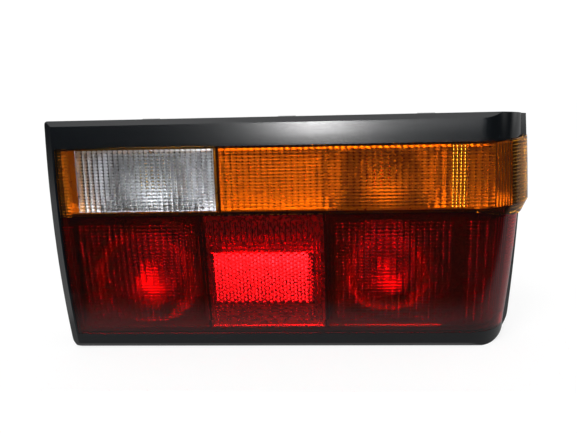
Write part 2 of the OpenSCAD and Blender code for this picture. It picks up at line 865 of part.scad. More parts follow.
// Metallised tray of one chamber: side walls, and a floor that falls back from turn_x on
module tray_shell(x0, x1, z0, z1, turn_x, corner) {
    flat_pts = [[turn_x, floor_y + tray_t], [x0, floor_y + tray_t], [x0, floor_y], [turn_x, floor_y]];
    fall_pts = [[x1, floor_y + tray_fall], [x1, floor_y + tray_fall + tray_t]];
    upright(-body_d, bowl_y) difference() {
        polygon(box_pts(x0 - 1, x1 + 1, z0 - 1, z1 + 1));
        rounded(box_pts(x0 + tray_t, x1 - tray_t, z0 + tray_t, z1 - tray_t),
            [0, max(corner - tray_t, 0), 0, 0]);
    }
    translate([0, 0, z0]) linear_extrude(z1 - z0)
        polygon(turn_x < x1 ? concat(flat_pts, fall_pts) : flat_pts);
}

// Round bowl behind a bulb, with its neck
module bowl(bulb, bowl_r) {
    shallow = (pow(bowl_r, 2) - pow(neck_r, 2) - pow(bowl_d, 2)) / (2 * bowl_d);
    ball_r = sqrt(pow(bowl_r, 2) + pow(shallow, 2));
    translate([bulb[0], 0, bulb[1]]) rotate([-90, 0, 0]) rotate_extrude() {
        intersection() {
            difference() {
                translate([0, floor_y - shallow]) circle(ball_r + tray_t);
                translate([0, floor_y - shallow]) circle(ball_r);
            }
            translate([0, floor_y]) square([bowl_r + far, bowl_d]);
        }
        translate([neck_r, bowl_y - tray_t]) square([tray_t, tray_t - plate_t - fit - bowl_y]);
    }
}

module tray(x0, x1, z0, z1, bulb, bowl_r, corner) {
    flat_x1 = bulb[0] + bowl_r + 4;
    color([0.78, 0.79, 0.8]) intersection() {
        union() {
            difference() {
                tray_shell(x0, x1, z0, z1, flat_x1 < x1 - 10 ? flat_x1 : x1, corner);
                along_y(bulb[0], bulb[1], floor_y - 1, floor_y + tray_t + 1, bowl_r);
            }
            bowl(bulb, bowl_r);
        }
        upright(-body_d, -fit - plate_t) rounded(box_pts(x0, x1, z0, z1), [0, corner, 0, 0]);
        zoned() { plan(rib_d, upper_side); plan(rib_d, lower_side); }
    }
}

tray_left = in_left + tray_gap;
tray_top = in_top - tray_gap;
tray_bottom = in_bottom + tray_gap;
tray_up = split_z + rib_t / 2 + tray_gap;
tray_down = split_z - rib_t / 2 - tray_gap;
tray_corner = ring_r[1] - wall_t - tray_gap;

module tray_reversing() {
    tray(tray_left, div_x - tray_gap, tray_up, tray_top, p_rev, wide_bowl_r, 0);
}

module tray_indicator() {
    tray(ind_left + tray_gap, upper_side - rib_d - tray_gap, tray_up, tray_top,
        p_ind, wide_bowl_r, 0);
}

module tray_fog() {
    tray(tray_left, fog_x1 - tray_gap, tray_bottom, tray_down, p_fog, wide_bowl_r, 0);
}

module tray_stop_tail() {
    tray(tail_left + tray_gap, lower_side - rib_d - tray_gap, tray_bottom, tray_down,
        p_tail, round_bowl_r, tray_corner);
}

// Plain tray behind the reflex reflector, which has no bulb
module tray_middle() {
    x0 = fog_x1 + rib_t + tray_gap;
    x1 = mid_x1 - tray_gap;
    color([0.78, 0.79, 0.8]) intersection() {
        tray_shell(x0, x1, tray_bottom, tray_down, x1, 0);
        upright(-body_d, -fit - plate_t) polygon(box_pts(x0, x1, tray_bottom, tray_down));
        swept() plan(rib_d, lower_side);
    }
}

module body_gasket() {
    color([0.2, 0.2, 0.21]) upright(0, gasket_t)
        outline_band(bezel_pts, bezel_r, gasket_inset, gasket_inset + gasket_w);
}

module mounting_studs() {
    color([0.75, 0.75, 0.72]) for (x = [-stud_x, stud_x]) for (z = [-stud_z, stud_z]) {
        along_y(x, z, -head_y, stud_head_t - head_y, stud_head_r);
        along_y(x, z, -head_y, 0, stud_neck_r);
        along_y(x, z, -fit, stud_l, stud_r);
    }
}

// Rubber caps on the breather pipes, each with two small side openings
module vent_caps() {
    color([0.1, 0.1, 0.1]) for (x = vent_xs) difference() {
        along_y(x, vent_pos_z, vent_l - vent_cap_l, vent_l + vent_cap_t, vent_r + vent_cap_t);
        along_y(x, vent_pos_z, vent_l - vent_cap_l - 1, vent_l + fit, vent_r + fit);
        translate([x - 1, vent_l - vent_slot_l, vent_pos_z - vent_r - 3]) cube([2, vent_slot_l, vent_r * 2 + 6]);
    }
}

// Contact strips on the back of the bulb carrier, as runs of points in X and Z
fog_run = [[pin_x0, pin_z], [pin_x0, lower_z], p_fog];
reversing_run = [[pin_x0 + pin_p, pin_z], [pin_x0 + pin_p, upper_z], p_rev];
earth_x = pin_x0 + 2 * pin_p;
earth_z = col_z1 - carrier_seal_w - 1;
earth_left = p_fog[0] - 18;
earth_right = p_tail[0] + 18;
leg_out = cap_r + fit + strip_t / 2;
earth_runs = [[[earth_x, pin_z], [earth_x, earth_z], [earth_left, earth_z], [earth_left, lower_z],
        [p_fog[0] - leg_out - strip_w / 2 + strip_t / 2, lower_z]],
    [[earth_x, earth_z], [earth_right, earth_z], [earth_right, lower_z],
        [p_tail[0] + leg_out + strip_w / 2 - strip_t / 2, lower_z]],
    [[p_rev[0], earth_z], [p_rev[0], upper_z + leg_out + strip_w / 2 - strip_t / 2]],
    [[p_ind[0], earth_z], [p_ind[0], upper_z + leg_out + strip_w / 2 - strip_t / 2]]];
tail_run = [[pin_x0 + 3 * pin_p, pin_z], [pin_x0 + 3 * pin_p, lower_z - contact_z], p_tail - [0, contact_z]];
stop_run = [[pin_x0 + 4 * pin_p, pin_z], [pin_x0 + 4 * pin_p, lower_z + contact_z], p_tail + [0, contact_z]];
indicator_run = [[pin_x0 + 5 * pin_p, pin_z], [pin_x0 + 5 * pin_p, upper_z], p_ind];
earth_legs = [[p_fog[0] - leg_out, lower_z, 0], [p_tail[0] + leg_out, lower_z, 0],
    [p_rev[0], upper_z + leg_out, 90], [p_ind[0], upper_z + leg_out, 90]];

module run_outline(run, grow) {
    w = strip_w + 2 * grow;
    for (i = [0:len(run) - 2]) {
        low = [min(run[i][0], run[i + 1][0]), min(run[i][1], run[i + 1][1])];
        high = [max(run[i][0], run[i + 1][0]), max(run[i][1], run[i + 1][1])];
        translate(low - [w, w] / 2) square(high - low + [w, w]);
    }
}

module blade(pin) {
    translate([pin[0] - strip_w / 2, strip_y, pin[1] - blade_w / 2]) cube([strip_w, strip_t, blade_w]);
    translate([pin[0] - strip_t / 2, strip_y, pin[1] - blade_w / 2])
        cube([strip_t, strip_t + blade_l, blade_w]);
}

module strip(run) {
    color([0.8, 0.62, 0.25]) {
        upright(strip_y, strip_y + strip_t) run_outline(run, 0);
        blade(run[0]);
    }
}

module earth_leg(leg, grow) {
    translate([leg[0], 0, leg[1]]) rotate([0, leg[2], 0])
        translate([-strip_t / 2 - grow, leg_y - grow, -strip_w / 2 - grow])
            cube([strip_t + 2 * grow, strip_y + strip_t - leg_y + grow, strip_w + 2 * grow]);
}

module strip_fog() {
    strip(fog_run);
}

module strip_reversing() {
    strip(reversing_run);
}

module strip_tail() {
    strip(tail_run);
}

module strip_stop() {
    strip(stop_run);
}

module strip_indicator() {
    strip(indicator_run);
}

module strip_earth() {
    color([0.8, 0.62, 0.25]) {
        upright(strip_y, strip_y + strip_t) for (run = earth_runs) run_outline(run, 0);
        blade(earth_runs[0][0]);
        for (leg = earth_legs) earth_leg(leg, 0);
    }
}

// Bulb carrier with its four bayonet sockets and the connector shroud
module at_bulb(b) {
    translate([b[0], 0, b[1]]) rotate([-90, 0, 0]) children();
}

module bayonet_slots(pin_ys) {
    for (k = [0, 1]) rotate([0, 0, 45 + 180 * k]) {
        translate([0, -slot_w / 2, carrier_y - socket_l - 1])
            cube([socket_or + 1, slot_w, pin_ys[k] + slot_w / 2 - carrier_y + socket_l + 1]);
        translate([0, 0, pin_ys[k] - slot_w / 2]) rotate_extrude(angle = slot_turn)
            square([socket_or + 1, slot_w]);
    }
}

module bulb_carrier() {
    color([0.82, 0.82, 0.78]) difference() {
        union() {
            upright(carrier_y, strip_y) rounded(carrier_pts, carrier_rs);
            upright(skirt_y, carrier_y + 0.5) outline_band(carrier_pts, carrier_rs, 0, carrier_seal_w);
            for (b = bulbs) along_y(b[0], b[1], carrier_y - socket_l, carrier_y + 0.5, socket_or);
            difference() {
                shroud_block(shroud_t, strip_y - 0.5, strip_y + shroud_d);
                shroud_block(0, strip_y, strip_y + shroud_d + 1);
            }
            translate([pin_mid - latch_w / 2, strip_y + shroud_d - latch_d - 2, pin_z + shroud_h / 2 + 1])
                cube([latch_w, latch_d, shroud_t + latch_h - 1]);
        }
        for (b = bulbs) {
            along_y(b[0], b[1], carrier_y - socket_l - 1, cap_end + fit, cap_r + socket_gap);
        }
        for (b = [p_rev, p_ind, p_fog]) {
            along_y(b[0], b[1], cap_end - 1, strip_y + 1, nub_r + socket_gap);
            at_bulb(b) bayonet_slots([bulb_pin_y, bulb_pin_y]);
        }
        for (s = [-1, 1])
            along_y(p_tail[0], p_tail[1] + s * contact_z, cap_end - 1, strip_y + 1, nub_r + socket_gap);
        at_bulb(p_tail) bayonet_slots([bulb_pin_y, bulb_pin_y - pin_offset]);
        upright(strip_y, strip_y + strip_t + strip_gap)
            for (run = concat([fog_run, reversing_run, tail_run, stop_run, indicator_run], earth_runs))
                run_outline(run, strip_gap);
        for (leg = earth_legs) earth_leg(leg, strip_gap);
    }
}

module shroud_block(grow, y0, y1) {
    translate([pin_mid - shroud_w / 2 - grow, y0, pin_z - shroud_h / 2 - grow])
        cube([shroud_w + 2 * grow, y1 - y0, shroud_h + 2 * grow]);
}

module carrier_seal() {
    color([0.2, 0.2, 0.21]) upright(0, carrier_seal_t)
        outline_band(carrier_pts, carrier_rs, 0, carrier_seal_w);
}

// Brass bulb cap with its two bayonet pins and one or two contacts
module cap(b, contacts, pin_ys) {
    color([0.8, 0.66, 0.3]) at_bulb(b) {
        difference() {
            translate([0, 0, cap_end - cap_l]) cylinder(h = cap_l, r = cap_r);
            translate([0, 0, cap_end - cap_l - 1]) cylinder(h = cap_l - cap_base + 1, r = cap_r - cap_wall);
        }
        for (y = contacts) translate([0, y, cap_end - 0.5]) cylinder(h = cap_y - cap_end + 0.5, r = nub_r);
        for (k = [0, 1]) rotate([0, 0, 45 + 180 * k + slot_turn - pin_back])
            translate([cap_r - cap_wall / 2, 0, pin_ys[k]]) rotate([0, 90, 0])
                cylinder(h = bulb_pin_l + cap_wall / 2, r = bulb_pin_r);
    }
}

// Hollow glass of a bulb, with its neck inside the cap
module glass(b) {
    mid = cap_end - cap_l - glass_l + glass_r;
    color([0.9, 0.92, 0.95, 0.5]) at_bulb(b) rotate_extrude() difference() {
        union() {
            intersection() {
                translate([0, mid]) circle(glass_r);
                translate([0, mid - glass_r]) square([glass_r, 2 * glass_r]);
            }
            translate([0, mid]) square([neck_out, neck_end - mid]);
        }
        translate([0, mid]) circle(glass_r - glass_t);
        translate([-1, mid]) square([neck_out - glass_t + 1, neck_end - mid + 1]);
    }
}

module cap_reversing() {
    cap(p_rev, [0], [bulb_pin_y, bulb_pin_y]);
}

module cap_indicator() {
    cap(p_ind, [0], [bulb_pin_y, bulb_pin_y]);
}

module cap_fog() {
    cap(p_fog, [0], [bulb_pin_y, bulb_pin_y]);
}

module cap_stop_tail() {
    cap(p_tail, [-contact_z, contact_z], [bulb_pin_y, bulb_pin_y - pin_offset]);
}

module glass_reversing() {
    glass(p_rev);
}

module glass_indicator() {
    glass(p_ind);
}

module glass_fog() {
    glass(p_fog);
}

module glass_stop_tail() {
    glass(p_tail);
}

bezel();
lens_amber();
lens_clear();
lens_red();
reflex_reflector();
lens_seal();
housing();
tray_reversing();
tray_indicator();
tray_fog();
tray_stop_tail();
tray_middle();
body_gasket();
mounting_studs();
vent_caps();
bulb_carrier();
carrier_seal();
strip_fog();
strip_reversing();
strip_earth();
strip_tail();
strip_stop();
strip_indicator();
cap_reversing();
glass_reversing();
cap_indicator();
glass_indicator();
cap_fog();
glass_fog();
cap_stop_tail();
glass_stop_tail();
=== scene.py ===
import json
import math

import bpy
import numpy as np
from mathutils import Matrix, Vector


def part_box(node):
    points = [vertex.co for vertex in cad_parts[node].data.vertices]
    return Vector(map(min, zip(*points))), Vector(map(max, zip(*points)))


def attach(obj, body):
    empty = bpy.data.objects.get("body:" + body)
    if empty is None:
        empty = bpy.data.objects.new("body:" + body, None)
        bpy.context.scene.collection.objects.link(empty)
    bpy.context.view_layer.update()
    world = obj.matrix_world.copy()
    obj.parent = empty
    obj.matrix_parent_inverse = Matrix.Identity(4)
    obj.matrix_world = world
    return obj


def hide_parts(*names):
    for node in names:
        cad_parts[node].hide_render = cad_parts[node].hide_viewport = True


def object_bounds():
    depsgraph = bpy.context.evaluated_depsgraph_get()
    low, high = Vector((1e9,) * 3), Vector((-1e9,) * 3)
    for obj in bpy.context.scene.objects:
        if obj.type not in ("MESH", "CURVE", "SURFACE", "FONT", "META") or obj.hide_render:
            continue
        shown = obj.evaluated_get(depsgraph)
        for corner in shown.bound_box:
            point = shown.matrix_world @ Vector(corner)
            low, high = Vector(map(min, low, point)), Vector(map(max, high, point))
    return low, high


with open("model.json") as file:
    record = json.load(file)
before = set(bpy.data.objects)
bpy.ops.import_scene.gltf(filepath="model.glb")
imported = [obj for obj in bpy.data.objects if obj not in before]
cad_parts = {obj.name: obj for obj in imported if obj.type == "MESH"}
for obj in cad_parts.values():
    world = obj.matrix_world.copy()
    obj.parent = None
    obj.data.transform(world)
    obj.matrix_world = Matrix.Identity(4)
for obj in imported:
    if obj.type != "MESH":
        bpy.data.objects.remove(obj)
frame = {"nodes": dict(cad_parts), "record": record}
bounds_at_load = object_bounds()

MM = 0.001

# The face of the lens, one section swept about a level axis. All sizes of the lenses are in millimetres
FACE_R = 500.0
DEPTH = 58.0
AXIS_Y = FACE_R - DEPTH
CROWN_Z = 30.0
CORNER_R = 36.0
WRAP_D = 27.7
LENS_T = 2.6
UPPER_SIDE = 188.0
LOWER_SIDE = 182.0

# Edges of the lenses. Window and reflector are left, right, bottom and top
LEFT = -186.9
TOP = 78.5
BOTTOM = -85.7
SPLIT_Z = 22.2
STEP_Z = 17.4
DROP_X = 150.0
WINDOW = (-170.4, -58.4, 26.5, 76.9)
REFLEX = (-65.6, 19.4, -56.8, -9.8)
GAP = 0.05

# Heights, and where the side of each lens stands there: it leans out over the slanted rim of the bezel
WIDEST_Z = 27.6
LEANS = {
    UPPER_SIDE: ((STEP_Z, WIDEST_Z, TOP), (190.3, 195.0, 192.7)),
    LOWER_SIDE: ((BOTTOM, STEP_Z), (LOWER_SIDE, 187.4)),
}

# Pillows and ribs on the inside of the lenses: pitches, rise along the face and upright, and steps
PILLOW_X = 4.9
PILLOW_Z = 2.65
CLEAR_X = 4.2
CLEAR_Z = 2.7
COLUMN_X = 3.0
STRIP_RIB = 4.4
BESIDE_RIB = 2.9
CORNER_RIB = 2.4
SIDE_RIB = 3.0
MARGIN_RIB = 4.5
SILL_RIB = 2.1
UPPER_RISE = (0.8, 0.5)
LOWER_RISE = (0.44, 0.27)
UPPER_STEPS = 6
LOWER_STEPS = 4

# Materials: part of the noise that is used, darkest and lightest tone, size of the patches against the
# grain, and fineness of the gloss and of the waves
NOISE_USED = (0.3, 0.7)
TONES = (0.88, 1.1)
PATCH = 12.0
GLOSS_GRAIN = 180.0
WAVE_GRAIN = 60.0
BUMP_STRENGTH = 0.5


def new_material(name):
    """Empty node material, with its tree and its output."""
    mat = bpy.data.materials.new(name)
    mat.use_nodes = True
    mat.node_tree.nodes.clear()
    out = mat.node_tree.nodes.new("ShaderNodeOutputMaterial")
    return mat, mat.node_tree, out


def noise(tree, scale, detail=3.0):
    coords = tree.nodes.new("ShaderNodeTexCoord")
    tex = tree.nodes.new("ShaderNodeTexNoise")
    tex.inputs["Scale"].default_value = scale
    tex.inputs["Detail"].default_value = detail
    tree.links.new(coords.outputs["Object"], tex.inputs["Vector"])
    return tex.outputs["Fac"]


def spread(tree, value, low, high):
    """Maps a noise value onto the range from low to high."""
    node = tree.nodes.new("ShaderNodeMapRange")
    node.inputs["From Min"].default_value = NOISE_USED[0]
    node.inputs["From Max"].default_value = NOISE_USED[1]
    node.inputs["To Min"].default_value = low
    node.inputs["To Max"].default_value = high
    tree.links.new(value, node.inputs["Value"])
    return node.outputs["Result"]


def bump(tree, value, distance):
    node = tree.nodes.new("ShaderNodeBump")
    node.inputs["Distance"].default_value = distance
    node.inputs["Strength"].default_value = BUMP_STRENGTH
    tree.links.new(value, node.inputs["Height"])
    return node.outputs["Normal"]


def math_node(tree, operation, a, b):
    node = tree.nodes.new("ShaderNodeMath")
    node.operation = operation
    for socket, value in ((node.inputs[0], a), (node.inputs[1], b)):
        if isinstance(value, float):
            socket.default_value = value
        else:
            tree.links.new(value, socket)
    return node.outputs[0]


def smooth_step(tree, value, low, high, top):
    """Rises from 0 at low to top at high."""
    node = tree.nodes.new("ShaderNodeMapRange")
    node.interpolation_type = "SMOOTHSTEP"
    node.inputs["From Min"].default_value = low
    node.inputs["From Max"].default_value = high
    node.inputs["To Max"].default_value = top
    tree.links.new(value, node.inputs["Value"])
    return node.outputs["Result"]


def object_place(tree):
    """X, Y and Z of the point, in the object's own coordinates."""
    place = tree.nodes.new("ShaderNodeSeparateXYZ")
    tree.links.new(tree.nodes.new("ShaderNodeTexCoord").outputs["Object"], place.inputs[0])
    return place.outputs


def surface(name, colour, rough, grain, metallic=0.0, grain_depth=0.0, vary=0.04):
    """Opaque material whose grain varies its gloss and tone, with a fine relief if grain_depth is set."""
    mat, tree, out = new_material(name)
    bsdf = tree.nodes.new("ShaderNodeBsdfPrincipled")
    bsdf.inputs["Metallic"].default_value = metallic
    fine = noise(tree, grain)
    tree.links.new(spread(tree, fine, rough - vary, rough + vary), bsdf.inputs["Roughness"])
    mix = tree.nodes.new("ShaderNodeMix")
    mix.data_type = "RGBA"
    for socket, tone in (("A", TONES[0]), ("B", TONES[1])):
        mix.inputs[socket].default_value = tuple(min(c * tone, 1.0) for c in colour[:3]) + (1.0,)
    tree.links.new(noise(tree, grain / PATCH), mix.inputs["Factor"])
    tree.links.new(mix.outputs["Result"], bsdf.inputs["Base Color"])
    if grain_depth > 0.0:
        tree.links.new(bump(tree, fine, grain_depth), bsdf.inputs["Normal"])
    tree.links.new(bsdf.outputs["BSDF"], out.inputs["Surface"])
    return mat


def plastic(name, colour, rough=0.02, ior=1.49, wave=0.00002):
    """Coloured clear acrylic: light takes its colour as it goes in and out."""
    mat, tree, out = new_material(name)
    bsdf = tree.nodes.new("ShaderNodeBsdfPrincipled")
    bsdf.inputs["Base Color"].default_value = colour
    bsdf.inputs["Transmission Weight"].default_value = 1.0
    bsdf.inputs["IOR"].default_value = ior
    gloss = spread(tree, noise(tree, GLOSS_GRAIN), rough * 0.5, rough * 1.5)
    tree.links.new(gloss, bsdf.inputs["Roughness"])
    tree.links.new(bump(tree, noise(tree, WAVE_GRAIN, 2.0), wave), bsdf.inputs["Normal"])
    tree.links.new(bsdf.outputs["BSDF"], out.inputs["Surface"])
    return mat


# Name, colour, roughness and fineness of the grain
BLACK = surface("bezel_black", (0.0018, 0.0028, 0.004, 1.0), 0.17, 900.0, grain_depth=0.000005, vary=0.015)
HOUSING = surface("housing_black", (0.014, 0.014, 0.015, 1.0), 0.55, 700.0, grain_depth=0.00005)
SILVER = surface("tray_silver", (0.88, 0.88, 0.9, 1.0), 0.19, 300.0, metallic=1.0)
SATIN = surface("tray_satin", (0.88, 0.88, 0.9, 1.0), 0.3, 300.0, metallic=1.0)
GREY = surface("tray_grey", (0.7, 0.7, 0.71, 1.0), 0.27, 300.0, metallic=1.0)
FOAM = surface("foam_grey", (0.03, 0.03, 0.032, 1.0), 0.9, 1500.0, grain_depth=0.0002)
RUBBER = surface("rubber_black", (0.012, 0.012, 0.012, 1.0), 0.6, 600.0, grain_depth=0.00003)
ZINC = surface("steel_zinc", (0.62, 0.61, 0.57, 1.0), 0.32, 900.0, metallic=1.0, grain_depth=0.00002)
IVORY = surface("carrier_ivory", (0.6, 0.57, 0.48, 1.0), 0.5, 600.0, grain_depth=0.00003)
BRASS = surface("brass", (0.78, 0.57, 0.22, 1.0), 0.25, 500.0, metallic=1.0)
TUNGSTEN = surface("tungsten", (0.35, 0.34, 0.33, 1.0), 0.4, 900.0, metallic=1.0)
AMBER = plastic("lens_amber", (0.76, 0.29, 0.013, 1.0))
CLEAR = plastic("lens_clear", (0.86, 0.87, 0.89, 1.0))
RED = plastic("lens_red", (0.8, 0.005, 0.012, 1.0))
REFLEX_RED = plastic("reflex_red", (0.78, 0.004, 0.006, 1.0), rough=0.14, wave=0.0)
GLASS = plastic("bulb_glass", (0.97, 0.98, 0.98, 1.0), rough=0.0, ior=1.5, wave=0.0)

for slot_name, mat in (
    ("bezel_black", BLACK),
    ("housing_black", HOUSING),
    ("tray_silver", SILVER),
    ("foam_grey", FOAM),
    ("rubber_black", RUBBER),
    ("steel_zinc", ZINC),
    ("carrier_ivory", IVORY),
    ("brass", BRASS),
    ("bulb_glass", GLASS),
):
    for part in frame["record"]["subparts"]:
        if part["material_slot"] == slot_name:
            node = frame["nodes"][part["node"]]
            node.data.materials.clear()
            node.data.materials.append(mat)

# The trays behind the upper lens and the reflector are satin
for name, mat in (("tray_reversing", SATIN), ("tray_indicator", SATIN), ("tray_middle", GREY)):
    frame["nodes"][name].data.materials[0] = mat

# In the two red chambers the trays have painted light in their colour: a painted highlight round the bulb,
# and from PAINTED_HIGHLIGHT_R (in metres) on a painted shade that turns the silver dark grey
PAINTED_HIGHLIGHT_R = (0.014, 0.034)
# Dark grey of the painted shade on those trays
PAINTED_SHADE_GREY = (0.2, 0.2, 0.21, 1.0)


def middle(low, high):
    """Point halfway between two opposite corners of a box."""
    return tuple((a + b) / 2.0 for a, b in zip(low, high))


def silver_with_painted_highlight(lamp):
    """Silver with a painted highlight round the bulb of this lamp, and painted shade further out, where
    its colour turns dark grey.
    """
    mat = SILVER.copy()
    mat.name = "tray_silver_painted_highlight_" + lamp
    tree = mat.node_tree
    bulb_x, _, bulb_z = middle(*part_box("cap_" + lamp))
    place = object_place(tree)
    across = math_node(tree, "SUBTRACT", place["X"], bulb_x)
    over = math_node(tree, "SUBTRACT", place["Z"], bulb_z)
    squared = [math_node(tree, "MULTIPLY", value, value) for value in (across, over)]
    distance = math_node(tree, "SQRT", math_node(tree, "ADD", *squared), 0.0)
    share = smooth_step(tree, distance, *PAINTED_HIGHLIGHT_R, 1.0)
    colour = next(node for node in tree.nodes if node.type == "BSDF_PRINCIPLED").inputs["Base Color"]
    # Painted shade away from the bulb, which leaves a painted highlight round it
    mix = tree.nodes.new("ShaderNodeMix")
    mix.data_type = "RGBA"
    mix.inputs["B"].default_value = PAINTED_SHADE_GREY
    tree.links.new(share, mix.inputs["Factor"])
    tree.links.new(colour.links[0].from_socket, mix.inputs["A"])
    tree.links.new(mix.outputs["Result"], colour)
    return mat


for lamp in ("fog", "stop_tail"):
    frame["nodes"]["tray_" + lamp].data.materials[0] = silver_with_painted_highlight(lamp)


# Lens form: s runs along the front and round the corner, e is the distance inside the face
def front_point(s, e, side):
    """x and depth of the point e inside the face at run s."""
    xc = side - CORNER_R
    turn = np.maximum(s - xc, 0.0) / CORNER_R
    x = np.where(s > xc, xc + (CORNER_R - e) * np.sin(turn), s)
    d = np.where(s > xc, CORNER_R - (CORNER_R - e) * np.cos(turn), e)
    return x, d


def run_end(side):
    """Run at which the lens ends, WRAP_D behind its front."""
    return side - CORNER_R + CORNER_R * math.acos(1.0 - WRAP_D / CORNER_R)


def leaning(s, z, side):
    """Run and side at height z, with the lean of the side."""
    out = np.interp(z, *LEANS[side]) - side
    corner = side - CORNER_R
    share = np.clip((s - corner) / (run_end(side) - corner), 0.0, 1.0)
    return s + out * share, side + out


def lens_point(s, z, e, side):
    """Point in metres, e inside the face at run s and height z."""
    s, side = leaning(s, z, side)
    x, d = front_point(s, e, side)
    radius = FACE_R - d
    y = AXIS_Y - np.sqrt(radius * radius - (z - CROWN_Z) ** 2)
    return np.stack([x, y, z], axis=-1) * MM


def joint_height(s, side):
    """Height of the joint between the upper and the red lens at run s."""
    x = lens_point(s, np.full_like(s, STEP_Z), np.zeros_like(s), side)[..., 0] / MM
    slope = np.clip((x - DROP_X) / (LOWER_SIDE - DROP_X), 0.0, 1.0)
    return SPLIT_Z + (STEP_Z - SPLIT_Z) * slope


# Relief of a zone: shares of the rise along the face and upright
FLAT = (0.0, 0.0)
PILLOW = (1.0, 1.0)
UPRIGHT_RIBS = (1.0, 0.0)
TALL_RIBS = (2.4, 0.0)
LEVEL_RIBS = (0.0, 1.0)


def lines(zones, fine):
    """Grid lines and, for each cell, its zone and the middle and width of its pillow.

    The zones are (start, end, pitch, name), and a pitch of 0 leaves the zone plain."""
    at, zone_of, mids, widths = [zones[0][0]], [], [], []
    for start, end, pitch, name in zones:
        count = max(1, round((end - start) / pitch)) if pitch else 1
        steps = fine if pitch else 2
        wide = (end - start) / count
        for k in range(count):
            for m in range(steps):
                at.append(start + wide * (k + (m + 1) / steps))
                zone_of.append(name)
                mids.append(start + wide * (k + 0.5))
                widths.append(wide)
    return np.array(at), zone_of, np.array(mids), np.array(widths)


# Sides of a grid cell: the step to its neighbour there, and the side's first and second corner
CELL_SIDES = (
    (-1, 0, (0, 1), (0, 0)),
    (1, 0, (1, 0), (1, 1)),
    (0, -1, (0, 0), (1, 0)),
    (0, 1, (1, 1), (0, 1)),
)
NORMAL_STEP = 0.02


def mesh_object(name, verts, faces, normals):
    """Smooth object from four-cornered faces, with a normal given for each corner."""
    mesh = bpy.data.meshes.new(name)
    mesh.vertices.add(len(verts))
    mesh.vertices.foreach_set("co", verts.ravel())
    mesh.loops.add(faces.size)
    mesh.loops.foreach_set("vertex_index", faces.ravel().astype(np.int32))
    mesh.polygons.add(len(faces))
    mesh.polygons.foreach_set("loop_start", np.arange(0, faces.size, 4, dtype=np.int32))
    mesh.update(calc_edges=True)
    mesh.validate()
    mesh.polygons.foreach_set("use_smooth", np.ones(len(faces), dtype=bool))
    mesh.normals_split_custom_set(normals.reshape(-1, 3).tolist())
    obj = bpy.data.objects.new(name, mesh)
    bpy.context.scene.collection.objects.link(obj)
    return obj


def unit(vectors):
    return vectors / np.maximum(np.linalg.norm(vectors, axis=-1, keepdims=True), 1e-12)


def reliefs(s_zone, z_zone, kind_of):
    """Relief of each cell, and which cells the lens has."""
    relief = np.zeros((len(s_zone), len(z_zone), 2))
    keep = np.ones(relief.shape[:2], dtype=bool)
    for i, s_name in enumerate(s_zone):
        for j, z_name in enumerate(z_zone):
            kind = kind_of(s_name, z_name)
            if kind is None:
                keep[i, j] = False
            else:
                relief[i, j] = kind
    return relief, keep


def edge_walls(keep, index, count):
    """Faces that join the outside and the inside along the lens's border and round its opening."""
    ns, nz = keep.shape
    padded = np.pad(keep, 1)
    walls = []
    for di, dj, a, b in CELL_SIDES:
        i, j = np.nonzero(keep & ~padded[1 + di:ns + 1 + di, 1 + dj:nz + 1 + dj])
        first = index[i + a[0], j + a[1]]
        second = index[i + b[0], j + b[1]]
        walls.append(np.stack([second, first, first + count, second + count], axis=1))
    return np.concatenate(walls)


